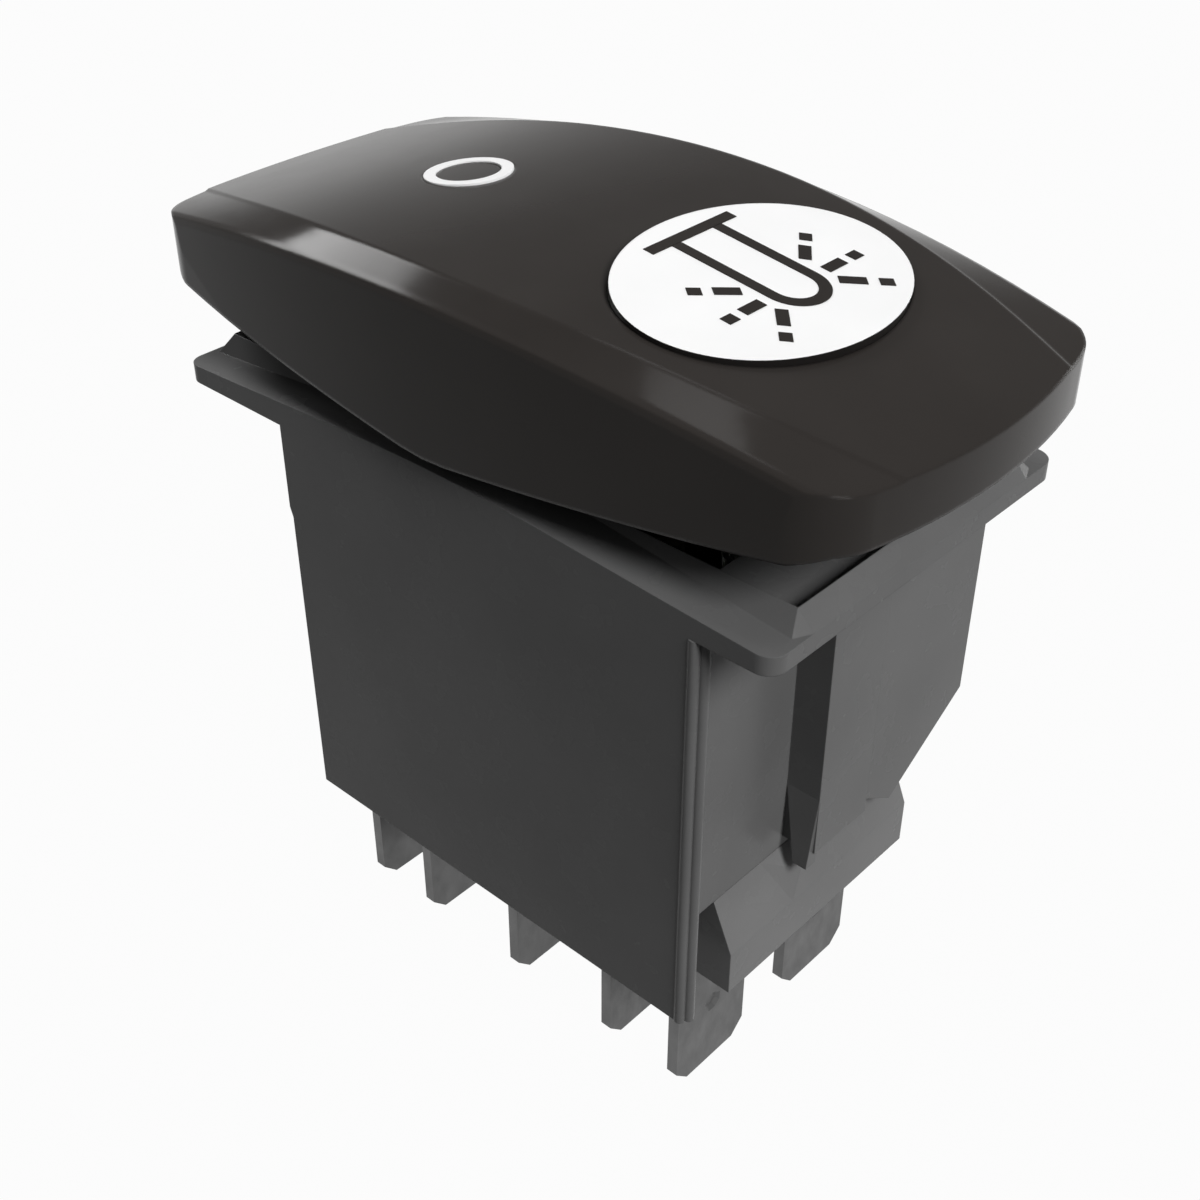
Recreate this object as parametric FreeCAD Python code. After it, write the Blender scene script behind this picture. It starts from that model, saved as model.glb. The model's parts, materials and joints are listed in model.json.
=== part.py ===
import FreeCAD, Part
import math
import os

# Panel rocker switch, millimetres. Origin: middle of the bezel's underside, the plane that seats on the panel.
# +X runs along the rocker towards its lens, +Z points out of the panel, -Y is the plain long side.

# Bezel, one moulding with the housing
BEZEL_L = 42.6
BEZEL_W = 24.2
BEZEL_R = 1.03
BEZEL_EDGE = 1.04
CROWN_RISE = 0.99
CROWN_X = 0.3
RIM_Z = 2.08
RIM_X = 20.35
RIM_Y = 9.17
RIM_SLOPE = 0.98
RECESS_FLOOR = 0.9

# Housing below the panel
HALF_W = BEZEL_W / 2
BODY_H = 25.8
WALL = 1.2
SIDE_WALL = 1.4
CORE_X = 16.0
CORE_LEFT = -12.74
CORE_STEP_Y = -8.75
FIN_X = 16.85
FIN_T = 0.85
BEAD_R = 0.31
BEAD_BACK = 0.15
BEAD_IN = 0.22
BEAD_STEP_Y = 0.43
DECK_T = 2.1
DECK_Z = RECESS_FLOOR - DECK_T
END_WALL_Z = -19.9
BACK_X = 12.95
RIB_OUT = 0.21
RIB_H = 5.3

# Snap tongue, with a wedge that flares out beside it, and end plate
TONGUE_X = 18.2
TONGUE_Y = 2.4
TONGUE_LOW = -19.2
FLARE_Z = -15.3
FLARE_OUT = 0.45
FLARE_LOW = -20.2
FLARE_BACK = 1.08
FLARE_TIP_IN = 0.18
END_PLATE_X = 17.9
PLATE_Y = 2.9
PLATE_LOW = -16.0
PLATE_INNER_Z = -18.82
FOOT_Y = 5.44
FOOT_Z = -20.43
HEEL_Y = 6.44
HEEL_Z = -19.79
FOOT_RELIEF = 0.3

# Terminal base
BASE_Y = 8.4
BASE_X = 17.35
BASE_DROP = 0.27
BASE_LOW = -BODY_H - BASE_DROP
BASE_SHELF_Z = -23.1
BASE_T = 2.1
FIT_GAP = 0.05
BASE_TOP = END_WALL_Z
GUSSET_TOP_Y = 4.35
GUSSET_LOW_Y = 2.8
GUSSET_IN_Y = 1.75
GUSSET_RISE = 1.6
GUSSET_BACK = 0.35
POST_HALF_X = 1.0
MID_WALL_HALF = 0.6
FENCE_T = 0.7
FENCE_X = 2.4
FENCE_GAP = 0.15

# Terminals
MECH_X = 0.13
ARM_X = 8.0
LAMP_ROW_LEFT = -12.84
LAMP_ROW_RIGHT = 13.5
ROWS = (LAMP_ROW_LEFT, MECH_X - ARM_X, MECH_X, MECH_X + ARM_X, LAMP_ROW_RIGHT)
POLE_Y = 5.2
BLADE_W = 6.3
BLADE_T = 0.76
BLADE_OUT = 11.02
BLADE_END = BASE_LOW - BLADE_OUT
BLADE_BEVEL = 1.0
SLOT_GAP = 0.02
TAB_RISE = 1.4
TAB_TOP = BASE_TOP + TAB_RISE
PAD_T = 0.8
PAD_HALF_X = 1.9
PAD_HALF_Y = 2.1
DIMPLE_UP = 5.0
DIMPLE_R = 0.75
DIMPLE_FLOOR_R = 0.4
DIMPLE_DEEP = 0.2

# Contacts and see-saw blades
TRAVEL = 7.0
SEESAW_TURN = 8.0
STUD_R = 1.6
STUD_H = 0.52
DOME_R = 3.0
BUTTON_R = 1.4
BUTTON_H = 0.9
ARM_T = 0.8
ARM_UP = 0.05
SEESAW_W = 4.0
SEESAW_END = 1.7
WEB = 0.6
TROUGH_HALF = 2.2
TROUGH_LIP = 0.7
ARM_ROOT = 2.0
KEEL_OUT = 3.4
KEEL_IN = 2.4
KEEL_DROP = 0.2
NOTCH_HALF = 0.5
NOTCH_UP = 0.03
CONTACT_GAP = 0.05
KNIFE_GAP = 0.09
FIXED_TOP = TAB_TOP + PAD_T + STUD_H
DOME_UP = DOME_R - BUTTON_H + ARM_UP
TURN = math.radians(SEESAW_TURN)
AXIS_Z = FIXED_TOP + CONTACT_GAP + DOME_R - DOME_UP * math.cos(TURN) + ARM_X * math.sin(TURN)

# Rocker
PIVOT_Z = -2.5
CAP_X = -0.4
CAP_HALF = 24.76
CAP_BOW = 1.64
CAP_W = 12.55
CAP_NARROW = 1.9
CAP_CORNER = 3.6
EDGE_Z = 11.62
EDGE_DROP = 2.87
CREASE_IN = 1.58
CREASE_BEND = 4.13
CREASE_UP = 0.79
CREASE_DROP = 3.3
CREASE_DROP4 = 0.41
CROWN_LEAST = 0.12
STEP_IN = 0.2
STEP_UP = 0.07
EDGE_ROUND = 0.45
DRAFT = 0.3
SKIRT_Z = 2.98
SKIRT_RISE = 0.12
SKIRT_KNEE = 3.5
SKIRT_HEEL = 1.8
SKIRT_END_Z = 6.12
SHELL = 1.3
ROOF = 2.7

# Lens and ring mark
LENS_FROM_END = 13.78
LENS_X = CAP_X + CAP_HALF - LENS_FROM_END
LENS_RX = 6.52
LENS_RY = 8.51
LENS_T = 1.45
LENS_PROUD = 0.25
LENS_TILT = 8.0
LENS_GAP = 0.03
LENS_LEDGE = 1.6
LENS_TAIL = 1.4
RING_FROM_END = 15.46
RING_X = CAP_X - CAP_HALF + RING_FROM_END
RING_R = 2.49
RING_IN = 1.81
RING_T = 0.55
RING_PROUD = 0.08
RING_TILT = -6.6

# Carrier, pins and plungers
PIN_R = 1.2
RUN_GAP = 0.05
EAR_OUT = 8.7
EAR_T = 1.8
EAR_HALF = 2.6
EAR_LOW = 2.3
PIN_SEAT = 0.7
BOSS_GAP = 0.25
BOSS_HALF = 3.2
LIGHT_R = 3.4
LIGHT_BACK = 1.6
PLATE_X = LENS_X + LIGHT_R - LIGHT_BACK
PLATE_W = 8.2
PLATE_Z = 4.6
PLATE_T = 1.8
YOKE_HALF = 3.0
YOKE_LOW = 1.2
POST_X = 4.6
POST_Y = 6.4
POST_R = 1.5
BARREL_WALL = 0.75
PLUNGER_R = 1.58
PLUNGER_GAP = 0.07
BORE_R = PLUNGER_R + PLUNGER_GAP
BARREL_R = BORE_R + BARREL_WALL
BARREL_LOW = -8.4
TROUGH_Z = AXIS_Z + WEB
BALL_Z = TROUGH_Z + RUN_GAP + PLUNGER_R
SPRING_UP = 2.0
SPRING_DOWN = 2.0
SPRING_LOW = BARREL_LOW + SPRING_UP
SPRING_TOP = PLATE_Z - SPRING_DOWN
SPRING_R = 1.3
SPRING_WIRE = 0.2
SPRING_TURNS = 6.5
TURN_POINTS = 10

# Lamps
LAMP_X = 11.2
LAMP_R = 1.5
LAMP_LOW = -4.2
LAMP_H = 4.5
LAMP_FLANGE = 0.35
LAMP_FLANGE_H = 0.7
LEAD_R = 0.25
LEAD_Y = 1.27
LEAD_LAP = 0.4
LAMP_POST_Y = 0.8

# A cutting tool runs this far past what it cuts
PAST = 4.0

# Sides of the lamps and the moving contacts
ROUND_SIDES = 16

OUT = "parts"
V = FreeCAD.Vector


def box(x0, x1, y0, y1, z0, z1):
    return Part.makeBox(x1 - x0, y1 - y0, z1 - z0, V(x0, y0, z0))


def side_box(x0, x1, side, y_in, y_out, z0, z1):
    low, high = sorted((side * y_in, side * y_out))
    return box(x0, x1, low, high, z0, z1)


def cyl(r, length, at, along):
    return Part.makeCylinder(r, length, V(*at), V(*along))


def prism(points, along):
    corners = [V(*p) for p in points]
    return Part.Face(Part.makePolygon(corners + [corners[0]])).extrude(V(*along))


def prism_xy(points, z0, z1):
    return prism([(x, y, z0) for x, y in points], (0, 0, z1 - z0))


def prism_xz(points, y0, y1):
    return prism([(x, y0, z) for x, z in points], (0, y1 - y0, 0))


def prism_yz(points, x0, x1):
    return prism([(x0, y, z) for y, z in points], (x1 - x0, 0, 0))


def poly_solid(points, faces):
    made = []
    for face in faces:
        corners = [V(*points[i]) for i in face]
        made.append(Part.Face(Part.makePolygon(corners + [corners[0]])))
    solid = Part.makeSolid(Part.makeShell(made))
    if solid.Volume < 0:
        solid.reverse()
    return solid


def edged_face(edges):
    return Part.Face(Part.Wire(edges))


def chain(points):
    return [Part.makeLine(p, q) for p, q in zip(points[:-1], points[1:])]


def fuse(shapes):
    body = shapes[0]
    for other in shapes[1:]:
        body = body.fuse(other)
    return body.removeSplitter()


def cut(body, tools):
    for tool in tools:
        body = body.cut(tool)
    return body


def round_uprights(block, radius):
    upright = [e for e in block.Edges if abs(e.Vertexes[0].Z - e.Vertexes[-1].Z) > 0.01]
    return block.makeFillet(radius, upright)


def solid_of(shape):
    return shape.Solids[0] if len(shape.Solids) == 1 else shape


def turned(profile, x, y):
    corners = [V(x + r, y, z) for r, z in profile]
    face = Part.Face(Part.makePolygon(corners + [corners[0]]))
    return solid_of(face.revolve(V(x, y, 0), V(0, 0, 1), 360))


def ring_of(centre, along, radius, sides):
    first = along.cross(V(0, 0, 1))
    if first.Length < 1e-6:
        first = V(1, 0, 0)
    first.normalize()
    second = along.cross(first).normalize()
    corners = []
    for k in range(sides):
        turn = 2 * math.pi * (k + 0.5) / sides
        corners.append(centre + first * (radius * math.cos(turn)) + second * (radius * math.sin(turn)))
    return corners


def banded(rings):
    count = len(rings[0])
    points = [corner for ring in rings for corner in ring]
    last = len(points) - count
    faces = [range(count), range(last, len(points))]
    for start in range(0, last, count):
        for k in range(count):
            after = (k + 1) % count
            faces.append((start + k, start + after, start + count + after, start + count + k))
    return poly_solid(points, faces)


def bent_wire(points, radius):
    corners = ring_of(points[0], points[1] - points[0], radius, 6)
    section = Part.makePolygon(corners + [corners[0]])
    return solid_of(Part.makePolygon(points).makePipeShell([section], True, False, 1))


def small_round(profile, x, y):
    return banded([ring_of(V(x, y, z), V(0, 0, 1), r, ROUND_SIDES) for r, z in profile])


def ball_points(radius, centre_z, first, last, count):
    points = []
    for k in range(count + 1):
        rise = math.radians(first + (last - first) * k / count)
        points.append((radius * math.cos(rise), centre_z + radius * math.sin(rise)))
    return points


def save(name, shape):
    shape.exportStep(os.path.join(OUT, name + ".step"))


def cheek_plate():
    half = BEZEL_L / 2
    shoulder = BEZEL_EDGE + 0.6 * CROWN_RISE
    heights = [
        (half, BEZEL_EDGE), (half / 2, shoulder), (CROWN_X, BEZEL_EDGE + CROWN_RISE),
        (-half / 2, shoulder), (-half, BEZEL_EDGE),
    ]
    knots = [V(x, -HALF_W, z) for x, z in heights]
    crown = Part.BSplineCurve()
    crown.interpolate(knots)
    feet = [knots[-1], V(-half, -HALF_W, 0), V(half, -HALF_W, 0), knots[0]]
    plate = edged_face([crown.toShape()] + chain(feet)).extrude(V(0, BEZEL_W, 0))
    plan = round_uprights(box(-half, half, -HALF_W, HALF_W, -0.1, RIM_Z + 1), BEZEL_R)
    return plate.common(plan)


def rim_frame():
    foot_x = BEZEL_L / 2
    mid_x = (RIM_X + foot_x) / 2
    foot_y = RIM_Y + RIM_SLOPE
    turn_y = RIM_Y - 0.1
    z = BEZEL_EDGE
    base = [
        (foot_x, -turn_y, z), (foot_x, turn_y, z), (mid_x, foot_y, z), (-mid_x, foot_y, z),
        (-foot_x, turn_y, z), (-foot_x, -turn_y, z), (-mid_x, -foot_y, z), (mid_x, -foot_y, z),
    ]
    top = [(RIM_X, -RIM_Y, RIM_Z), (RIM_X, RIM_Y, RIM_Z), (-RIM_X, RIM_Y, RIM_Z), (-RIM_X, -RIM_Y, RIM_Z)]
    faces = [
        (0, 1, 2, 3, 4, 5, 6, 7), (8, 9, 10, 11),
        (0, 1, 9, 8), (1, 2, 9), (2, 3, 10, 9), (3, 4, 10),
        (4, 5, 11, 10), (5, 6, 11), (6, 7, 8, 11), (7, 0, 8),
    ]
    return poly_solid(base + top, faces)


def core_plan(wall, side_wall, step):
    return [
        (CORE_LEFT + step, -HALF_W + side_wall), (CORE_X - wall, -HALF_W + side_wall),
        (CORE_X - wall, HALF_W - side_wall), (-CORE_X + wall, HALF_W - side_wall),
        (-CORE_X + wall, CORE_STEP_Y + step),
    ]


def body_shell():
    outer = prism_xy(core_plan(0, 0, 0), -BODY_H, BEZEL_EDGE / 2)
    inner = prism_xy(core_plan(WALL, SIDE_WALL, WALL / 2), -BODY_H - 1, DECK_Z)
    reach = CORE_X + 3
    inside = CORE_X - WALL - 1
    below = -BODY_H - 1
    gaps = [
        box(inside, reach, -HALF_W + SIDE_WALL, HALF_W + 1, below, END_WALL_Z),
        box(BACK_X, reach, HALF_W - SIDE_WALL - 0.1, HALF_W + 1, below, END_WALL_Z),
        box(-reach, -inside, CORE_STEP_Y - WALL / 2, HALF_W - SIDE_WALL, below, END_WALL_Z),
    ]
    return cut(outer.cut(inner), gaps)


def end_fin():
    fin = box(CORE_X - WALL, FIN_X - BEAD_BACK, -HALF_W, -HALF_W + FIN_T, -BODY_H, BEZEL_EDGE / 2)
    beads = []
    for k, x in enumerate((FIN_X - BEAD_BACK, FIN_X + BEAD_BACK)):
        y = -HALF_W + BEAD_IN + k * BEAD_STEP_Y
        beads.append(cyl(BEAD_R, BODY_H, (x, y, -BODY_H), (0, 0, 1)))
    return fuse([fin] + beads)


def edge_rib():
    outer = CORE_LEFT - RIB_OUT
    inner = CORE_LEFT + WALL / 3
    low = -RIB_H - 3 * RIB_OUT
    points = [(inner, BEZEL_EDGE / 2), (outer, BEZEL_EDGE / 2), (outer, -RIB_H), (CORE_LEFT, low), (inner, low)]
    return prism_xz(points, -HALF_W, -HALF_W + SIDE_WALL / 2)


def tongue(sign):
    root = sign * (CORE_X - WALL / 3)
    face = sign * TONGUE_X
    upper = prism_yz(
        [(-TONGUE_Y, BEZEL_EDGE / 2), (TONGUE_Y, BEZEL_EDGE / 2), (TONGUE_Y, TONGUE_LOW), (-TONGUE_Y, TONGUE_LOW)],
        root, face)
    back = sign * (CORE_X + FLARE_BACK)
    tip = sign * (TONGUE_X - FLARE_TIP_IN)
    out_y = -TONGUE_Y - FLARE_OUT
    in_y = -TONGUE_Y + FLARE_OUT
    top = [(sign * CORE_X, -TONGUE_Y, FLARE_Z), (face, -TONGUE_Y, FLARE_Z)]
    inner = [(sign * CORE_X, in_y, FLARE_Z), (face, in_y, FLARE_Z)]
    foot = [(back, out_y, FLARE_LOW), (tip, out_y, FLARE_LOW), (tip, in_y, FLARE_LOW), (back, in_y, FLARE_LOW)]
    wedge = poly_solid(
        top + inner + foot,
        [(0, 1, 5, 4), (2, 3, 1, 0), (2, 0, 4, 7), (1, 3, 6, 5), (3, 2, 7, 6), (4, 5, 6, 7)])
    return fuse([upper, wedge])


def end_plate(sign):
    outline = [
        (PLATE_Y, BEZEL_EDGE / 2), (HALF_W, BEZEL_EDGE / 2), (HALF_W, PLATE_LOW),
        (HEEL_Y, HEEL_Z), (FOOT_Y, FOOT_Z), (PLATE_Y, PLATE_INNER_Z),
    ]
    plate = prism_yz(outline, sign * (CORE_X - WALL / 3), sign * END_PLATE_X)
    near, far = sorted((sign * (CORE_X - WALL), sign * (CORE_X + FOOT_RELIEF)))
    return plate.cut(box(near, far, PLATE_Y - 1, HALF_W + 1, FOOT_Z - 1, END_WALL_Z))


def pin_bosses():
    top = DECK_Z + 0.3
    low = PIVOT_Z - BOSS_HALF
    x0, x1 = MECH_X - BOSS_HALF, MECH_X + BOSS_HALF
    outer = HALF_W - SIDE_WALL + 0.2
    return [side_box(x0, x1, side, EAR_OUT + BOSS_GAP, outer, low, top) for side in (-1, 1)]


def make_housing():
    pieces = [cheek_plate(), rim_frame(), body_shell(), end_fin(), edge_rib()]
    pieces += [tongue(1), tongue(-1), end_plate(1), end_plate(-1)] + pin_bosses()
    opening_x = CORE_X - WALL
    seat = HALF_W - PIN_SEAT + 0.2
    tools = [
        box(-RIM_X, RIM_X, -RIM_Y, RIM_Y, RECESS_FLOOR, RIM_Z + 1),
        box(-opening_x, opening_x, -RIM_Y, RIM_Y, DECK_Z - 0.5, RIM_Z + 1),
        cyl(PIN_R, 2 * seat, (MECH_X, -seat, PIVOT_Z), (0, 1, 0)),
    ]
    return solid_of(cut(fuse(pieces), tools).removeSplitter())


def terminal_slot(x, y):
    half_t = BLADE_T / 2 + SLOT_GAP
    half_w = BLADE_W / 2 + SLOT_GAP
    return box(x - half_t, x + half_t, y - half_w, y + half_w, BLADE_END - 1, TAB_TOP)


def base_nose():
    root = CORE_X - WALL - 0.4
    roof = BASE_TOP - FIT_GAP
    points = [(root, BASE_LOW), (BASE_X, BASE_LOW), (BASE_X, BASE_SHELF_Z), (CORE_X, roof), (root, roof)]
    return prism_xz(points, -BASE_Y, BASE_Y)


def base_plug():
    roof = END_WALL_Z - FIT_GAP
    plug = box(-CORE_X, CORE_X - WALL, -BASE_Y, BASE_Y, BASE_LOW, BASE_TOP)
    shelf_x = CORE_X - WALL - 1
    shelf_y = HALF_W - SIDE_WALL - FIT_GAP
    shelf = box(-shelf_x, shelf_x, -shelf_y, shelf_y, BASE_TOP - BASE_T, BASE_TOP)
    outer = [(-CORE_X, -HALF_W), (CORE_LEFT + WALL / 2, -HALF_W), (-CORE_X, CORE_STEP_Y + WALL / 2)]
    corner = prism_xy(outer, BASE_LOW - 1, 0)
    ends = box(-CORE_X - 1, -shelf_x - 0.9, -HALF_W, HALF_W, roof, 0)
    return fuse([plug, shelf]).cut(corner).cut(ends)


def base_gusset():
    roof = BASE_TOP - FIT_GAP
    root = CORE_X - GUSSET_BACK
    return poly_solid(
        [
            (CORE_X, -GUSSET_TOP_Y, roof), (BASE_X, -GUSSET_LOW_Y, BASE_SHELF_Z),
            (BASE_X - GUSSET_BACK, -GUSSET_IN_Y, BASE_SHELF_Z + GUSSET_RISE), (CORE_X, -GUSSET_IN_Y, roof),
            (root, -GUSSET_TOP_Y, BASE_SHELF_Z), (root, -GUSSET_IN_Y, BASE_SHELF_Z),
        ],
        [(0, 1, 2), (0, 2, 3), (0, 4, 1), (1, 4, 5), (1, 5, 2), (2, 5, 3), (0, 3, 5), (0, 5, 4)])


def make_base():
    reach = ARM_X + SEESAW_END - FENCE_T / 2
    root = BASE_TOP - BASE_T / 2
    mid_wall = box(MECH_X - reach, MECH_X + reach, -MID_WALL_HALF, MID_WALL_HALF, root, AXIS_Z + WEB + ARM_T)
    parts = [base_plug(), base_nose(), mid_wall]
    fence = SEESAW_W / 2 + FENCE_GAP
    fence_top = AXIS_Z - FENCE_T
    for side in (-1, 1):
        for edge in (POLE_Y - fence - FENCE_T, POLE_Y + fence):
            parts.append(side_box(MECH_X - FENCE_X, MECH_X + FENCE_X, side, edge, edge + FENCE_T, root, fence_top))
    for x in (-LAMP_X, LAMP_X):
        parts.append(box(x - POST_HALF_X, x + POST_HALF_X, -LAMP_POST_Y, LAMP_POST_Y, root, LAMP_LOW))
    base = fuse(parts + [base_gusset()])
    slots = [terminal_slot(x, side * POLE_Y) for x in ROWS for side in (-1, 1)]
    return solid_of(cut(base, slots).removeSplitter())


def blade(x, y, top):
    half_w = BLADE_W / 2
    flat = half_w - BLADE_BEVEL
    bevel_z = BLADE_END + BLADE_BEVEL
    outline = [
        (y - half_w, top), (y - half_w, bevel_z), (y - flat, BLADE_END),
        (y + flat, BLADE_END), (y + half_w, bevel_z), (y + half_w, top),
    ]
    body = prism_yz(outline, x - BLADE_T / 2, x + BLADE_T / 2)
    face = V(x + BLADE_T / 2, y, BLADE_END + DIMPLE_UP)
    floor = face - V(DIMPLE_DEEP, 0, 0)
    rims = [ring_of(at, V(1, 0, 0), r, 8) for at, r in ((face, DIMPLE_R), (floor, DIMPLE_FLOOR_R))]
    return body.cut(banded(rims))


def contact_terminal(x, y):
    pad = box(x - PAD_HALF_X, x + PAD_HALF_X, y - PAD_HALF_Y, y + PAD_HALF_Y, TAB_TOP, TAB_TOP + PAD_T)
    return solid_of(fuse([blade(x, y, TAB_TOP + PAD_T / 2), pad]))


def pivot_terminal(x, y):
    half = BLADE_T / 2
    tip = AXIS_Z - KNIFE_GAP + 0.03
    low = TAB_TOP - 0.4
    points = [(x - half, low), (x + half, low), (x + half, tip - 2 * half), (x, tip), (x - half, tip - 2 * half)]
    knife = prism_xz(points, y - SEESAW_W / 2, y + SEESAW_W / 2)
    return solid_of(fuse([blade(x, y, TAB_TOP - 0.2), knife]))


def trough_radius():
    ratio = SEESAW_TURN / TRAVEL
    lever = PIVOT_Z - BALL_Z
    a = lever - ratio * WEB
    b = ratio ** 2 * WEB + lever
    c = PLUNGER_R + RUN_GAP
    return (a ** 2 + c * b) / (b - c * ratio ** 2 + 2 * a * ratio)


def seesaw(y):
    radius = trough_radius()
    shoulder = TROUGH_Z + radius - math.sqrt(radius ** 2 - TROUGH_HALF ** 2)
    arm_low = AXIS_Z + ARM_UP
    arm_top = arm_low + ARM_T
    low = AXIS_Z - KEEL_DROP
    end = ARM_X + SEESAW_END
    half_side = [
        (TROUGH_HALF, shoulder), (TROUGH_HALF + TROUGH_LIP, shoulder), (TROUGH_HALF + ARM_ROOT, arm_top),
        (end, arm_top), (end, arm_low), (KEEL_OUT, arm_low), (KEEL_IN, low), (NOTCH_HALF, low),
    ]
    y0 = y - SEESAW_W / 2
    right = [V(MECH_X + x, y0, z) for x, z in half_side]
    left = [V(MECH_X - x, y0, z) for x, z in reversed(half_side)]
    outline = right + [V(MECH_X, y0, AXIS_Z + NOTCH_UP)] + left
    trough = Part.Arc(outline[-1], V(MECH_X, y0, TROUGH_Z), outline[0]).toShape()
    return edged_face([trough] + chain(outline)).extrude(V(0, SEESAW_W, 0))


def moving_contact(x, y):
    top = AXIS_Z + ARM_UP
    centre = top - BUTTON_H + DOME_R
    rim_fall = math.degrees(math.acos(BUTTON_R / DOME_R))
    return small_round([(BUTTON_R, top)] + ball_points(DOME_R, centre, -rim_fall, SEESAW_TURN - 90, 1), x, y)


def fixed_contact(x, y):
    return cyl(STUD_R, STUD_H, (x, y, TAB_TOP + PAD_T), (0, 0, 1))


def plunger(y):
    tip = ball_points(PLUNGER_R, BALL_Z, -90, 0, 4)
    return turned(tip + [(PLUNGER_R, SPRING_LOW), (0, SPRING_LOW)], MECH_X, y)


def spring(y):
    low = SPRING_LOW + SPRING_WIRE
    rise = SPRING_TOP - SPRING_WIRE - low
    steps = round(SPRING_TURNS * TURN_POINTS)
    points = []
    for k in range(steps + 1):
        turn = 2 * math.pi * k / TURN_POINTS
        x = MECH_X + SPRING_R * math.cos(turn)
        points.append(V(x, y + SPRING_R * math.sin(turn), low + rise * k / steps))
    return bent_wire(points, SPRING_WIRE)


def along_cap(x):
    return (x - CAP_X) / CAP_HALF


def edge_height(x):
    return EDGE_Z - EDGE_DROP * along_cap(x) ** 2


def crease_height(x):
    u = along_cap(x)
    return EDGE_Z + CREASE_UP - CREASE_DROP * u ** 2 - CREASE_DROP4 * u ** 4


def crown_height(x):
    return max(crease_height(x), edge_height(x) + CROWN_LEAST)


def cap_stations():
    step = (CAP_HALF + 0.74) / 4
    return [CAP_X + k * step for k in range(-4, 5)]


def cap_section(x):
    u = along_cap(x)
    half = CAP_W - CAP_NARROW * u ** 2
    edge = edge_height(x)
    crease_y = CAP_W - CREASE_IN - CREASE_BEND * u ** 2
    crease_z = crown_height(x)
    bend = 0.29 * EDGE_ROUND
    right = [
        (half + DRAFT, 0.0), (half, edge - EDGE_ROUND), (half - bend, edge - bend), (half - EDGE_ROUND, edge),
        (crease_y, crease_z - STEP_UP), (crease_y - 2 * STEP_IN, crease_z + STEP_UP),
    ]
    left = [(-y, z) for y, z in reversed(right)]
    points = [V(x, y, z) for y, z in right + left]
    return Part.makePolygon(points + [points[0]])


def above_crown():
    reach = CAP_W + PAST
    knots = [V(x, -reach, crown_height(x)) for x in cap_stations()]
    crown = Part.BSplineCurve()
    crown.interpolate(knots)
    roof = [V(knots[-1].x, -reach, EDGE_Z + PAST), V(knots[0].x, -reach, EDGE_Z + PAST)]
    return edged_face([crown.toShape()] + chain([knots[-1]] + roof + [knots[0]])).extrude(V(0, 2 * reach, 0))


def bow_radius(half_chord, bow):
    return (half_chord ** 2 + bow ** 2) / (2 * bow)


def rounded_corner(corner, mid, radius):
    side_r = bow_radius(corner.x, mid.y - corner.y)
    end_r = bow_radius(corner.y, mid.x - corner.x)
    side_at = V(0, mid.y - side_r, 0)
    end_at = V(mid.x - end_r, 0, 0)
    apart = end_at - side_at
    to_side = side_r - radius
    to_end = end_r - radius
    along = (to_side ** 2 - to_end ** 2 + apart.Length ** 2) / (2 * apart.Length)
    apart.normalize()
    across = V(apart.y, -apart.x, 0) * math.sqrt(to_side ** 2 - along ** 2)
    centre = side_at + apart * along + across
    on_side = side_at + (centre - side_at) * (side_r / to_side)
    on_end = end_at + (centre - end_at) * (end_r / to_end)
    outward = (on_side + on_end) * 0.5 - centre
    return on_side, centre + outward * (radius / outward.Length), on_end


def cap_outline(inset, z0, z1):
    corner = V(CAP_HALF - CAP_BOW - inset, CAP_W - CAP_NARROW * (1 - CAP_BOW / CAP_HALF) ** 2 - inset, 0)
    mid = V(CAP_HALF - inset, CAP_W + DRAFT - inset, 0)
    bend = rounded_corner(corner, mid, max(CAP_CORNER - inset * 0.4, 0.4))
    runs = []
    for sx, sy in ((1, -1), (1, 1), (-1, 1), (-1, -1)):
        placed = [V(CAP_X + sx * p.x, sy * p.y, z0) for p in bend]
        runs.append(placed[::-1] if sx == sy else placed)
    mids = [V(CAP_X + mid.x, 0, z0), V(CAP_X, mid.y, z0), V(CAP_X - mid.x, 0, z0), V(CAP_X, -mid.y, z0)]
    edges = []
    for k in range(4):
        edges.append(Part.Arc(*runs[k]).toShape())
        edges.append(Part.Arc(runs[k][2], mids[k], runs[(k + 1) % 4][0]).toShape())
    return edged_face(edges).extrude(V(0, 0, z1 - z0))


def skirt_cut():
    far = CAP_HALF + 2
    knee = CAP_HALF - SKIRT_KNEE
    heel = CAP_HALF - SKIRT_HEEL
    knee_z = SKIRT_Z + SKIRT_RISE * knee
    half_side = [(1.6, SKIRT_Z + SKIRT_RISE * 1.6), (knee, knee_z), (heel, SKIRT_END_Z), (far, SKIRT_END_Z), (far, -3.0)]
    right = [(CAP_X + x, z) for x, z in half_side]
    left = [(CAP_X - x, z) for x, z in reversed(half_side)]
    return prism_xz(left + [(CAP_X, SKIRT_Z + SKIRT_RISE * 0.8)] + right, -CAP_W - 3, CAP_W + 3)


def ceiling_block():
    far = CAP_HALF - 0.2
    mid = crease_height(CAP_X) - ROOF
    end = crease_height(CAP_X + far) - ROOF + 0.6
    y = -CAP_W - 1
    arc = Part.Arc(V(CAP_X - far, y, end), V(CAP_X, y, mid), V(CAP_X + far, y, end)).toShape()
    rest = [V(CAP_X + far, y, end), V(CAP_X + far, y, -2), V(CAP_X - far, y, -2), V(CAP_X - far, y, end)]
    return edged_face([arc] + chain(rest)).extrude(V(0, -2 * y, 0))


def on_crown(shape, x, tilt):
    shape.rotate(V(0, 0, 0), V(0, 1, 0), tilt)
    shape.translate(V(x, 0, crease_height(x)))
    return shape


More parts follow.
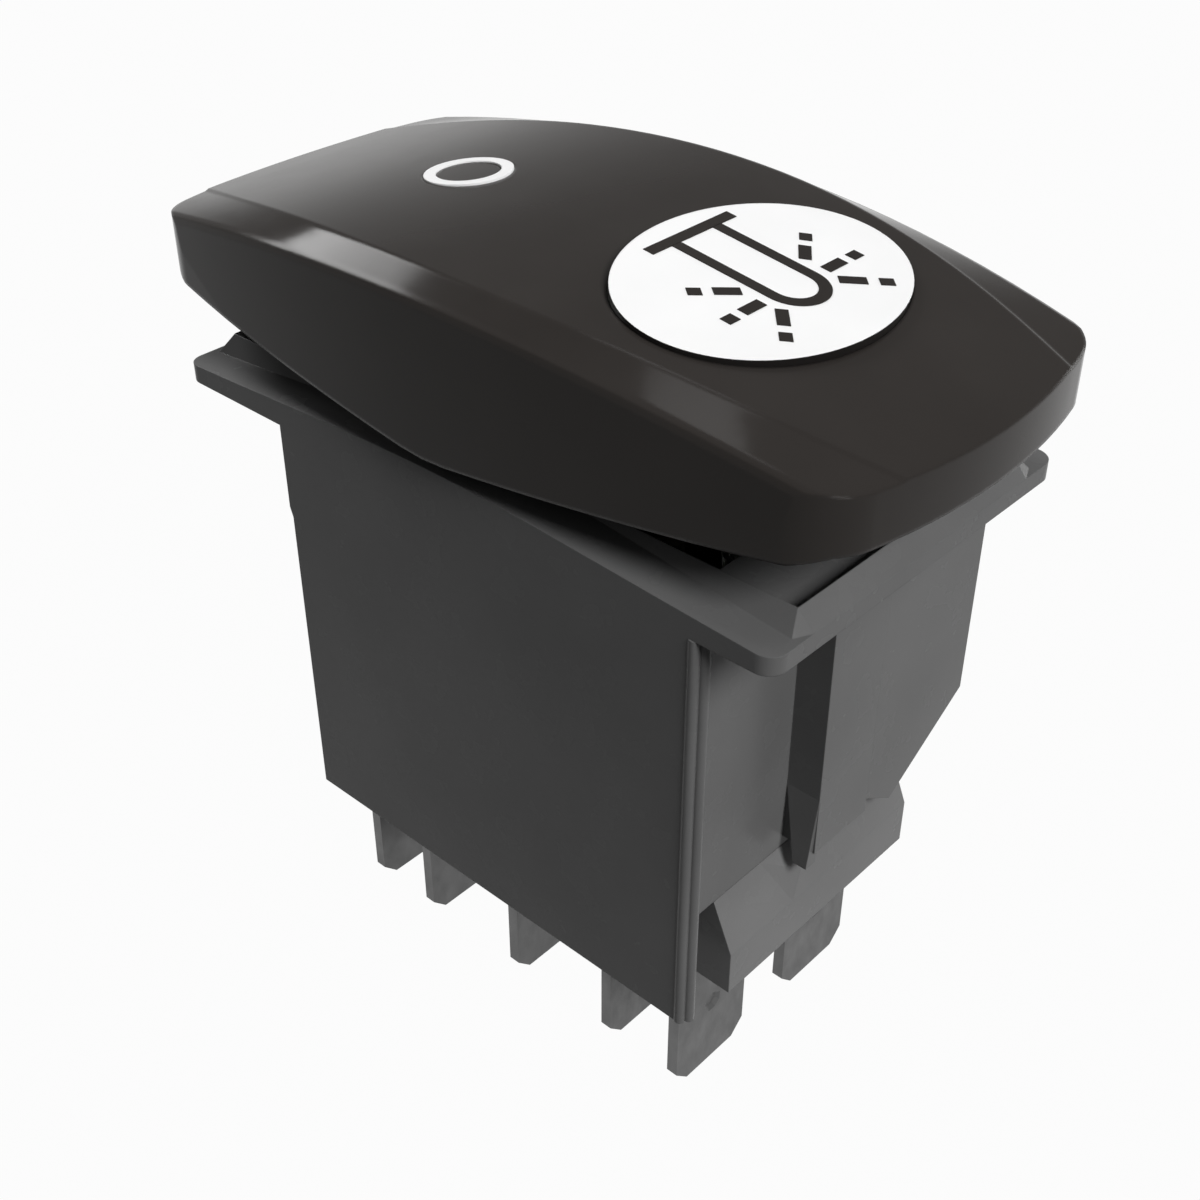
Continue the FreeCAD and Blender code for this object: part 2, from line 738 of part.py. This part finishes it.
def oval(rx, ry, z0, z1):
    edge = Part.Ellipse(V(0, 0, z0), ry, rx).toShape()
    edge.rotate(V(0, 0, 0), V(0, 0, 1), 90)
    return edged_face([edge]).extrude(V(0, 0, z1 - z0))


def lens_oval(inset, z0, z1):
    return on_crown(oval(LENS_RX - inset, LENS_RY - inset, z0, z1), LENS_X, LENS_TILT)


def ring_tube(z1, gap):
    tube = Part.makeCylinder(RING_R + gap, z1 + RING_T, V(0, 0, -RING_T))
    tube = tube.cut(Part.makeCylinder(RING_IN - gap, z1 + RING_T + 2, V(0, 0, -RING_T - 1)))
    return on_crown(tube, RING_X, RING_TILT)


def make_cap():
    hull = Part.makeLoft([cap_section(x) for x in cap_stations()], True, False)
    cap = hull.cut(above_crown()).common(cap_outline(0, SHELL / 2, EDGE_Z + PAST))
    cap = cap.cut(skirt_cut())
    cap = cap.cut(cap_outline(SHELL, 0, EDGE_Z + PAST).common(ceiling_block()))
    seat = LENS_PROUD - LENS_T
    cap = cap.cut(lens_oval(-LENS_GAP, seat, PAST))
    cap = cap.cut(lens_oval(LENS_LEDGE, seat - PAST, 0))
    return solid_of(cap.cut(ring_tube(PAST, 0)))


def make_lens():
    seat = LENS_PROUD - LENS_T
    disc = lens_oval(0, seat, LENS_PROUD)
    return solid_of(fuse([disc, lens_oval(LENS_LEDGE + 0.1, seat - LENS_TAIL, seat + 0.1)]))


def make_carrier():
    top = PLATE_Z + PLATE_T
    plate = box(MECH_X - PLATE_X, MECH_X + PLATE_X, -PLATE_W, PLATE_W, PLATE_Z, top)
    yoke = box(MECH_X - YOKE_HALF, MECH_X + YOKE_HALF, -EAR_OUT, EAR_OUT, YOKE_LOW, PLATE_Z + 0.2)
    ceiling = ceiling_block()
    solids = [plate, yoke]
    for x in (MECH_X - POST_X, MECH_X + POST_X):
        for y in (-POST_Y, POST_Y):
            solids.append(cyl(POST_R, EDGE_Z + PAST - top, (x, y, top - 0.2), (0, 0, 1)).common(ceiling))
    bores = [cyl(LIGHT_R, PLATE_T + 2, (x, 0, PLATE_Z - 1), (0, 0, 1)) for x in (LENS_X - LIGHT_BACK, RING_X)]
    ear_low = PIVOT_Z - EAR_LOW
    ear_top = YOKE_LOW + 0.2
    for side in (-1, 1):
        y = side * POLE_Y
        solids.append(side_box(MECH_X - EAR_HALF, MECH_X + EAR_HALF, side, EAR_OUT - EAR_T, EAR_OUT, ear_low, ear_top))
        solids.append(cyl(BARREL_R, PLATE_Z - BARREL_LOW - 0.2, (MECH_X, y, BARREL_LOW), (0, 0, 1)))
        bores.append(cyl(BORE_R, SPRING_TOP - BARREL_LOW + 1, (MECH_X, y, BARREL_LOW - 1), (0, 0, 1)))
        pin_hole = side * (EAR_OUT - EAR_T + 0.2)
        bores.append(cyl(PIN_R + RUN_GAP, EAR_T + 1, (MECH_X, pin_hole, PIVOT_Z), (0, side, 0)))
    return solid_of(cut(fuse(solids), bores).removeSplitter())


def pivot_pin(side):
    start = EAR_OUT - EAR_T + 0.35
    return cyl(PIN_R, HALF_W - PIN_SEAT + 0.2 - start, (MECH_X, side * start, PIVOT_Z), (0, side, 0))


def led(x):
    flange_r = LAMP_R + LAMP_FLANGE
    flange_top = LAMP_LOW + LAMP_FLANGE_H
    foot = [(flange_r, LAMP_LOW), (flange_r, flange_top), (LAMP_R, flange_top)]
    return small_round(foot + ball_points(LAMP_R, LAMP_LOW + LAMP_H - LAMP_R, 0, 75, 3), x, 0)


def lead(x, row, side):
    low = TAB_TOP + LEAD_R
    y = side * LEAD_Y
    end_y = side * (POLE_Y - BLADE_W / 2 + LEAD_LAP)
    return bent_wire([V(x, y, LAMP_LOW), V(x, y, low), V(row, end_y, low)], LEAD_R)


def main():
    os.makedirs(OUT, exist_ok=True)
    save("housing", make_housing())
    save("terminal_base", make_base())
    save("rocker_cap", make_cap())
    save("lens", make_lens())
    save("ring_mark", ring_tube(RING_PROUD, 0))
    save("rocker_carrier", make_carrier())
    for side, name in ((-1, "front"), (1, "rear")):
        y = side * POLE_Y
        save("pivot_pin_" + name, pivot_pin(side))
        save("plunger_" + name, plunger(y))
        save("plunger_spring_" + name, spring(y))
        save("contact_blade_" + name, seesaw(y))
        for arm, label in ((-1, "left"), (1, "right")):
            x = MECH_X + arm * ARM_X
            save("moving_contact_%s_%s" % (label, name), moving_contact(x, y))
            save("fixed_contact_%s_%s" % (label, name), fixed_contact(x, y))
            save("terminal_%s_%s" % (label, name), contact_terminal(x, y))
        save("terminal_common_" + name, pivot_terminal(MECH_X, y))
        save("terminal_lamp_left_" + name, blade(LAMP_ROW_LEFT, y, TAB_TOP))
        save("terminal_lamp_right_" + name, blade(LAMP_ROW_RIGHT, y, TAB_TOP))
        save("lamp_lead_left_" + name, lead(-LAMP_X, LAMP_ROW_LEFT, side))
        save("lamp_lead_right_" + name, lead(LAMP_X, LAMP_ROW_RIGHT, side))
    save("lamp_left", led(-LAMP_X))
    save("lamp_right", led(LAMP_X))


main()
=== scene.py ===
import json
import math

import bmesh
import bpy
from mathutils import Matrix, Vector


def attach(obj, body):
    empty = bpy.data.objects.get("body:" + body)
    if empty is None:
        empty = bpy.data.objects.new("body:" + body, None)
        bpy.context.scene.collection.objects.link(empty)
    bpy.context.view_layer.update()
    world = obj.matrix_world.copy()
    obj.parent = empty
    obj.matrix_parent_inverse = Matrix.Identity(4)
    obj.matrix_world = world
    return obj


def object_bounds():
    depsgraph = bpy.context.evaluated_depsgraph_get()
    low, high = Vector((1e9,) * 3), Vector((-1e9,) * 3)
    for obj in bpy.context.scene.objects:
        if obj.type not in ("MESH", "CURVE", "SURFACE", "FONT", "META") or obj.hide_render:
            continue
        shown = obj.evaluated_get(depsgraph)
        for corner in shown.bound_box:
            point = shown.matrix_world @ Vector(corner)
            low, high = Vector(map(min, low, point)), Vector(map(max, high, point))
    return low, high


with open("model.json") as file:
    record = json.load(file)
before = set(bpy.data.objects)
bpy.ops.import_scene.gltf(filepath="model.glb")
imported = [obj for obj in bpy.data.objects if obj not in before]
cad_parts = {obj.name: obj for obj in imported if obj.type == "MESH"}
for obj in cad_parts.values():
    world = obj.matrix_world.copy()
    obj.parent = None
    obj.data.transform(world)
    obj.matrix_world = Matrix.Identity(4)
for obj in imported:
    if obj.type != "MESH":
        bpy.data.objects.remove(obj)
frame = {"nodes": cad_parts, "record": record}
CAD_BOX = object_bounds()
NODES = frame["nodes"]
MM = 0.001
WHITE = (1, 1, 1, 1)


def linear(hex_colour):
    """An sRGB hex colour as the linear values that a socket takes."""
    out = []
    for i in (0, 2, 4):
        c = int(hex_colour[i:i + 2], 16) / 255
        out.append(c / 12.92 if c <= 0.04045 else ((c + 0.055) / 1.055) ** 2.4)
    return tuple(out) + (1.0,)


def add(tree, kind, inputs=None, **settings):
    """A node with its settings. An input that is a socket is linked, and any other input is set."""
    node = tree.nodes.new(kind)
    for name, value in settings.items():
        setattr(node, name, value)
    for name, value in (inputs or {}).items():
        if isinstance(value, bpy.types.NodeSocket):
            tree.links.new(value, node.inputs[name])
        else:
            node.inputs[name].default_value = value
    return node


# Materials

# The two colour sockets of a Mix node that is set to RGBA, and its colour output
DARK, LIGHT = 6, 7
MIXED = 2

# Real sizes of the patterns, in mm
FLOW_MM = 9.0      # slow clouds left by the flow of the melt
POLISH_MM = 2.2    # patches where the mould was polished more or less
TARNISH_MM = 3.0   # patches on a metal
OPAL_MM = 6.0      # faint clouds in the opal plastic
SATIN_MM = 0.25    # satin skin of the opal plastic: the real one is finer and is drawn coarser so that it shows
EPOXY_MM = 1.5     # uneven skin of the cast lamps

CORNER_RAYS = 6


def new_material(name):
    mat = bpy.data.materials.new(name)
    mat.use_nodes = True
    mat.node_tree.nodes.clear()
    return mat, mat.node_tree


def per_mm(size):
    """The scale at which a noise on Object coordinates, in metres, has this size in mm."""
    return 1.0 / (size * MM)


def spread(low, high):
    """A noise value's usual range, turned to the range that a socket wants."""
    return {"From Min": 0.3, "From Max": 0.7, "To Min": low, "To Max": high}


def moulded(name, dark, light, rough, gloss, spark_mm, spark_depth, wave_depth=0.004, corner_mm=0.08):
    """Injection moulded plastic: an even colour with faint clouds, a fine spark-eroded grain and softened corners."""
    mat, tree = new_material(name)
    place = add(tree, "ShaderNodeTexCoord").outputs["Object"]
    cloud = add(
        tree, "ShaderNodeTexNoise",
        {"Vector": place, "Scale": per_mm(FLOW_MM), "Detail": 3.0}).outputs["Fac"]
    patch = add(
        tree, "ShaderNodeTexNoise",
        {"Vector": place, "Scale": per_mm(POLISH_MM), "Detail": 3.0}).outputs["Fac"]
    spark = add(
        tree, "ShaderNodeTexNoise",
        {"Vector": place, "Scale": per_mm(spark_mm), "Roughness": 0.6}).outputs["Fac"]
    tint = add(tree, "ShaderNodeMapRange", {"Value": cloud, **spread(0.0, 1.0)})
    colour = add(
        tree, "ShaderNodeMix",
        {"Factor": tint.outputs["Result"], DARK: linear(dark), LIGHT: linear(light)}, data_type="RGBA")
    sheen = add(tree, "ShaderNodeMapRange", {"Value": patch, **spread(rough * 0.88, rough * 1.12)})
    corner = add(tree, "ShaderNodeBevel", {"Radius": corner_mm * MM}, samples=CORNER_RAYS)
    wave = add(
        tree, "ShaderNodeBump",
        {"Height": cloud, "Strength": 0.3, "Distance": wave_depth * MM, "Normal": corner.outputs["Normal"]})
    grain = add(
        tree, "ShaderNodeBump",
        {"Height": spark, "Strength": 0.5, "Distance": spark_depth * MM, "Normal": wave.outputs["Normal"]})
    shader = add(tree, "ShaderNodeBsdfPrincipled", {
        "Base Color": colour.outputs[MIXED], "Roughness": sheen.outputs["Result"],
        "Specular IOR Level": gloss, "Normal": grain.outputs["Normal"]})
    add(tree, "ShaderNodeOutputMaterial", {"Surface": shader.outputs["BSDF"]})
    return mat


def worked_metal(name, dark, light, rough, grain_mm=0.5, stretch=(1, 1, 1)):
    """Drawn, ground or rolled metal: fine marks, mostly along one direction, and a faint change of tone.

    The real marks are a few hundredths of a millimetre apart, too fine to show, so grain_mm draws them coarser.
    """
    mat, tree = new_material(name)
    place = add(tree, "ShaderNodeTexCoord").outputs["Object"]
    along = add(tree, "ShaderNodeMapping", {"Vector": place, "Scale": stretch}).outputs["Vector"]
    mark = add(
        tree, "ShaderNodeTexNoise",
        {"Vector": along, "Scale": per_mm(grain_mm), "Detail": 3.0, "Roughness": 0.6}).outputs["Fac"]
    patch = add(tree, "ShaderNodeTexNoise", {"Vector": place, "Scale": per_mm(TARNISH_MM)}).outputs["Fac"]
    tint = add(tree, "ShaderNodeMapRange", {"Value": patch, **spread(0.0, 1.0)})
    colour = add(
        tree, "ShaderNodeMix",
        {"Factor": tint.outputs["Result"], DARK: linear(dark), LIGHT: linear(light)}, data_type="RGBA")
    sheen = add(tree, "ShaderNodeMapRange", {"Value": mark, **spread(rough * 0.85, rough * 1.2)})
    relief = add(tree, "ShaderNodeBump", {"Height": mark, "Strength": 0.2, "Distance": 0.003 * MM})
    shader = add(tree, "ShaderNodeBsdfPrincipled", {
        "Base Color": colour.outputs[MIXED], "Metallic": 1.0,
        "Roughness": sheen.outputs["Result"], "Normal": relief.outputs["Normal"]})
    add(tree, "ShaderNodeOutputMaterial", {"Surface": shader.outputs["BSDF"]})
    return mat


def clear_epoxy(name):
    """Cast epoxy of a small lamp: water-clear with a slightly uneven skin."""
    mat, tree = new_material(name)
    place = add(tree, "ShaderNodeTexCoord").outputs["Object"]
    skin = add(tree, "ShaderNodeTexNoise", {"Vector": place, "Scale": per_mm(EPOXY_MM)}).outputs["Fac"]
    sheen = add(tree, "ShaderNodeMapRange", {"Value": skin, **spread(0.08, 0.16)})
    shader = add(tree, "ShaderNodeBsdfPrincipled", {
        "Base Color": linear("F2F5EE"), "Transmission Weight": 0.9, "IOR": 1.5,
        "Roughness": sheen.outputs["Result"]})
    add(tree, "ShaderNodeOutputMaterial", {"Surface": shader.outputs["BSDF"]})
    return mat


def milk_white(name, edge):
    """Opal polycarbonate: white and even, with a fine satin skin. Faces that stand upright take a painted shadow
    colour, which draws a thin dark line of shade round the lens.
    """
    mat, tree = new_material(name)
    coords = add(tree, "ShaderNodeTexCoord")
    place = coords.outputs["Object"]
    upward = add(tree, "ShaderNodeSeparateXYZ", {"Vector": coords.outputs["Normal"]}).outputs["Z"]
    # Upright faces get the painted shadow colour given as edge; faces that look up stay white
    unshaded_top = add(tree, "ShaderNodeMapRange", {"Value": upward, "From Min": 0.5, "From Max": 0.7})
    cloud = add(tree, "ShaderNodeTexNoise", {"Vector": place, "Scale": per_mm(OPAL_MM)}).outputs["Fac"]
    skin = add(tree, "ShaderNodeTexNoise", {"Vector": place, "Scale": per_mm(SATIN_MM)}).outputs["Fac"]
    tint = add(tree, "ShaderNodeMapRange", {"Value": cloud, **spread(0.0, 1.0)})
    white = add(
        tree, "ShaderNodeMix",
        {"Factor": tint.outputs["Result"], DARK: linear("ECECEC"), LIGHT: linear("F0F0F0")}, data_type="RGBA")
    colour = add(
        tree, "ShaderNodeMix",
        {"Factor": unshaded_top.outputs["Result"], DARK: linear(edge), LIGHT: white.outputs[MIXED]}, data_type="RGBA")
    sheen = add(tree, "ShaderNodeMapRange", {"Value": skin, **spread(0.36, 0.44)})
    corner = add(tree, "ShaderNodeBevel", {"Radius": 0.1 * MM}, samples=CORNER_RAYS)
    grain = add(
        tree, "ShaderNodeBump",
        {"Height": skin, "Strength": 0.2, "Distance": 0.002 * MM, "Normal": corner.outputs["Normal"]})
    shader = add(tree, "ShaderNodeBsdfPrincipled", {
        "Base Color": colour.outputs[MIXED], "Roughness": sheen.outputs["Result"],
        "Specular IOR Level": 0.2, "Normal": grain.outputs["Normal"]})
    add(tree, "ShaderNodeOutputMaterial", {"Surface": shader.outputs["BSDF"]})
    return mat


# The spark grain of a mould is about 0.05 mm. That is too fine to show here, so spark_mm draws it coarser.
# A typical gloss is 0.5. It is lower on the outer plastics, which mirror little of the room in the photograph.
MATERIALS = {
    # Satin dark grey with almost no mirror image
    "housing_plastic": moulded(
        "moulded nylon, dark grey", "606060", "676767", rough=0.26, gloss=0.05, spark_mm=0.16, spark_depth=0.012),
    # The same nylon, a little lighter
    "base_plastic": moulded(
        "moulded nylon, terminal base", "6C6C6C", "737373", rough=0.26, gloss=0.05, spark_mm=0.16, spark_depth=0.01),
    # Warm black from a polished mould, with soft window-like highlights and rounded end edges
    "rocker_plastic": moulded(
        "moulded polycarbonate, warm black", "2E2B29", "322F2D", rough=0.14, gloss=0.075, spark_mm=0.3,
        spark_depth=0.0015, wave_depth=0.01, corner_mm=0.3),
    # Dull black inside the rocker
    "carrier_plastic": moulded(
        "moulded nylon, black", "191919", "202020", rough=0.45, gloss=0.2, spark_mm=0.2, spark_depth=0.01),
    # White face whose upright edge is painted dark: a painted shadow, seen as a thin dark line
    "lens_plastic": milk_white("opal polycarbonate lens", edge="1C1A19"),
    # White all over
    "mark_plastic": milk_white("opal polycarbonate inlay", edge="ECECEC"),
    # Waxy off-white
    "plunger_plastic": moulded(
        "natural acetal", "DAD5C6", "E6E2D6", rough=0.38, gloss=0.4, spark_mm=0.3, spark_depth=0.004),
    # Bright wire with faint drawing marks
    "spring_steel": worked_metal("drawn spring wire", "8C8C8C", "A6A6A6", 0.3),
    # Bright steel with rings round the pin
    "pin_steel": worked_metal("ground steel pin", "9C9C9C", "B2B2B2", 0.25, stretch=(1, 6, 1)),
    # Near-white, smooth
    "contact_silver": worked_metal("pressed silver alloy", "C4C4C0", "DADAD6", 0.2),
    # Yellow strip with rolling marks across it
    "contact_brass": worked_metal("rolled brass strip", "A77C3C", "BE9350", 0.3, stretch=(8, 1, 1)),
    # Dull grey tin, faintly marked along the blade
    "terminal_tin": worked_metal(
        "tinned brass blade, dull", "565656", "606060", 0.42, grain_mm=0.8, stretch=(1, 1, 0.5)),
    # Light grey wire
    "lead_tin": worked_metal("tinned lead wire", "A0A0A0", "B4B4B4", 0.3),
    # Clear dome with a soft highlight
    "lamp_lens": clear_epoxy("clear cast epoxy"),
}
# Dull print, the warm black of the rocker
INK = moulded("printed dark ink", "2B2826", "322F2D", rough=0.5, gloss=0.05, spark_mm=0.25, spark_depth=0.002)


def give(obj, mat):
    obj.data.materials.clear()
    obj.data.materials.append(mat)


SLOTS = {part["node"]: part["material_slot"] for part in frame["record"]["subparts"]}
for node_name, node in NODES.items():
    give(node, MATERIALS[SLOTS[node_name]])


def new_piece(name, bm, mat):
    mesh = bpy.data.meshes.new(name)
    bm.to_mesh(mesh)
    bm.free()
    obj = bpy.data.objects.new(name, mesh)
    bpy.context.scene.collection.objects.link(obj)
    give(obj, mat)
    return obj


# The symbol printed on the lens: a lamp on its bracket, with rays on both sides. Sizes are in mm on the lens,
# u along the rocker and v across it.

LENS_AT = Vector((10.58, 0.0, 11.745))
LENS_TILT = math.radians(8.0)
LENS_PROUD = 0.25
INK_T = 0.035
SYMBOL_V = 0.45
STROKE = 0.67
LAMP_START = -4.68
LAMP_NOSE = 1.42
LAMP_HALF = 1.56
NOSE_STEPS = 28
BRACKET_U = -4.96
BRACKET_HALF = 3.2
BRACKET_V = -0.08
RAY_W = 0.65
# Start and end of each ray's two dashes on one side; the other side mirrors them
RAYS = [
    ((1.47, 2.5), (1.47, 3.95)), ((1.5, 4.5), (1.5, 5.26)),
    ((2.45, 2.25), (3.42, 3.3)), ((3.84, 3.75), (4.34, 4.3)),
    ((0.23, 2.5), (-0.62, 3.58)), ((-0.92, 4.06), (-1.37, 4.62)),
]


def push(bm, edge, offset):
    """Pulls an edge out to a face and gives the edge at its far end."""
    out = bmesh.ops.extrude_edge_only(bm, edges=[edge])["geom"]
    verts = [g for g in out if isinstance(g, bmesh.types.BMVert)]
    bmesh.ops.translate(bm, verts=verts, vec=offset)
    return [g for g in out if isinstance(g, bmesh.types.BMEdge) and set(g.verts) == set(verts)][0]


def lamp_stroke(bm):
    """The lamp's outline: out along one side, round the nose and back along the other."""
    ends = [bm.verts.new((LAMP_START, LAMP_HALF + side * STROKE / 2, 0)) for side in (-1, 1)]
    edge = push(bm, bm.edges.new(ends), (LAMP_NOSE - LAMP_START, 0, 0))
    turn = bmesh.ops.spin(
        bm, geom=[edge] + list(edge.verts), cent=(LAMP_NOSE, 0, 0), axis=(0, 0, 1), angle=-math.pi,
        steps=NOSE_STEPS)
    last = [g for g in turn["geom_last"] if isinstance(g, bmesh.types.BMEdge)][0]
    push(bm, last, (LAMP_START - LAMP_NOSE, 0, 0))


def bar(bm, start, end, width):
    """A flat bar with square ends."""
    a, b = Vector(start), Vector(end)
    run = b - a
    place = Matrix.Translation(((a + b) / 2).to_3d()) @ Matrix.Rotation(math.atan2(run.y, run.x), 4, "Z")
    place = place @ Matrix.Diagonal((run.length, width, 1, 1))
    bmesh.ops.create_grid(bm, x_segments=1, y_segments=1, size=0.5, matrix=place)


def lens_symbol():
    bm = bmesh.new()
    lamp_stroke(bm)
    bar(bm, (BRACKET_U, BRACKET_V - BRACKET_HALF), (BRACKET_U, BRACKET_V + BRACKET_HALF), STROKE)
    for a, b in RAYS:
        for side in (-1, 1):
            bar(bm, (a[0], side * a[1]), (b[0], side * b[1]), RAY_W)
    bmesh.ops.recalc_face_normals(bm, faces=bm.faces)
    raised = bmesh.ops.extrude_face_region(bm, geom=list(bm.faces))["geom"]
    top = [g for g in raised if isinstance(g, bmesh.types.BMVert)]
    bmesh.ops.translate(bm, verts=top, vec=(0, 0, INK_T))
    bmesh.ops.recalc_face_normals(bm, faces=bm.faces)
    seat = Matrix.Translation(LENS_AT * MM) @ Matrix.Rotation(LENS_TILT, 4, "Y")
    seat = seat @ Matrix.Diagonal((MM, MM, MM, 1)) @ Matrix.Translation((0, SYMBOL_V, LENS_PROUD))
    bmesh.ops.transform(bm, matrix=seat, verts=bm.verts)
    obj = new_piece("lens_symbol", bm, INK)
    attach(obj, "rocker")


lens_symbol()


# Stage, light and camera. Directions point from the object to the light.

FLOOR_GLOW = 0.97
FLOOR_HALF = 3.0
PAPER = "404040"
# The world's brightness against the height of a ray, from 0 at the horizon to 1 straight up
WALL = {"From Min": 0.05, "From Max": 0.36, "To Min": FLOOR_GLOW, "To Max": 0.3}
ROOM = {"From Min": -0.1, "From Max": 0.75, "To Min": 0.04, "To Max": 0.2}
SOFTBOX_AWAY = 0.6

CAMERA_AT = Vector((54.72, -59.86, 45.18))
CAMERA_BACK = Vector((0.5514, -0.6034, 0.5761))
CAMERA_RIGHT = Vector((0.738, 0.675, 0.0))
FOCAL_MM = 50.0
SENSOR_MM = 36.0


def backdrop_rays(tree):
    """1 for rays that show the background: straight from the camera, mirrored or through clear plastic."""
    path = add(tree, "ShaderNodeLightPath")
    seen = add(
        tree, "ShaderNodeMath",
        {0: path.outputs["Is Camera Ray"], 1: path.outputs["Is Glossy Ray"]}, operation="MAXIMUM")
    both = add(
        tree, "ShaderNodeMath",
        {0: seen.outputs[0], 1: path.outputs["Is Transmission Ray"]}, operation="MAXIMUM")
    return both.outputs[0]


def floor():
    mat, tree = new_material("white paper floor")
    paper = add(tree, "ShaderNodeBsdfDiffuse", {"Color": linear(PAPER)})
    glow = add(tree, "ShaderNodeEmission", {"Color": WHITE, "Strength": 1.0})
    share = add(tree, "ShaderNodeMath", {0: backdrop_rays(tree), 1: FLOOR_GLOW}, operation="MULTIPLY")
    mix = add(
        tree, "ShaderNodeMixShader",
        {0: share.outputs[0], 1: paper.outputs["BSDF"], 2: glow.outputs["Emission"]})
    add(tree, "ShaderNodeOutputMaterial", {"Surface": mix.outputs["Shader"]})
    bm = bmesh.new()
    ground = Matrix.Translation((0, 0, CAD_BOX[0][2]))
    bmesh.ops.create_grid(bm, x_segments=4, y_segments=4, size=FLOOR_HALF, matrix=ground)
    new_piece("floor", bm, mat)


def studio():
    """A pale wall in what the camera and the mirrored rays see, and a dim room that fills the shadows."""
    world = bpy.data.worlds.new("studio")
    bpy.context.scene.world = world
    world.use_nodes = True
    tree = world.node_tree
    tree.nodes.clear()
    place = add(tree, "ShaderNodeTexCoord").outputs["Generated"]
    up = add(tree, "ShaderNodeSeparateXYZ", {"Vector": place}).outputs["Z"]
    wall = add(tree, "ShaderNodeMapRange", {"Value": up, **WALL})
    room = add(tree, "ShaderNodeMapRange", {"Value": up, **ROOM})
    shown = add(tree, "ShaderNodeBackground", {"Color": WHITE, "Strength": wall.outputs["Result"]})
    fill = add(tree, "ShaderNodeBackground", {"Color": WHITE, "Strength": room.outputs["Result"]})
    mix = add(
        tree, "ShaderNodeMixShader",
        {0: backdrop_rays(tree), 1: fill.outputs["Background"], 2: shown.outputs["Background"]})
    add(tree, "ShaderNodeOutputWorld", {"Surface": mix.outputs["Shader"]})


def new_light(name, kind, direction):
    data = bpy.data.lights.new(name, kind)
    obj = bpy.data.objects.new(name, data)
    bpy.context.scene.collection.objects.link(obj)
    obj.rotation_euler = Vector(direction).to_track_quat("Z", "Y").to_euler()
    return obj, data


def sun(name, direction, strength, angle):
    """A large soft lamp far away, this many degrees across."""
    obj, data = new_light(name, "SUN", direction)
    data.energy = strength
    data.angle = math.radians(angle)


def softbox(name, direction, width, height, radiance):
    """A square lamp near the object, whose mirror image is a soft streak. Its sizes are in metres."""
    obj, data = new_light(name, "AREA", direction)
    obj.location = Vector(direction).normalized() * SOFTBOX_AWAY
    data.shape = "RECTANGLE"
    data.size, data.size_y = width, height
    data.energy = radiance * math.pi * width * height
    obj.visible_camera = False


def camera():
    """The photograph's view, solved from the straight edges of the housing."""
    data = bpy.data.cameras.new("camera")
    data.lens = FOCAL_MM
    data.sensor_width = SENSOR_MM
    data.clip_start = 0.005
    data.clip_end = 20.0
    obj = bpy.data.objects.new("camera", data)
    bpy.context.scene.collection.objects.link(obj)
    back, right = CAMERA_BACK.normalized(), CAMERA_RIGHT.normalized()
    turn = Matrix((right, back.cross(right), back)).transposed().to_4x4()
    obj.matrix_world = Matrix.Translation(CAMERA_AT * MM) @ turn
    bpy.context.scene.camera = obj


floor()
studio()
# The main lamp, which shines on the lens end; a faint one from above; and a low one for the far side
sun("side", (0.76, -0.14, 0.63), 2.8, 20)
sun("top", (0.3, -0.1, 0.95), 0.1, 40)
sun("back", (0.25, 0.95, 0.15), 0.8, 20)
# The streak on the rocker's near band, and the fainter patch further along it
softbox("window", (-0.80, 0.02, 0.59), 0.18, 0.18, 15.0)
softbox("overhead", (-0.28, 0.35, 0.90), 0.15, 0.15, 4.0)
camera()

bpy.context.scene.view_settings.view_transform = "Standard"
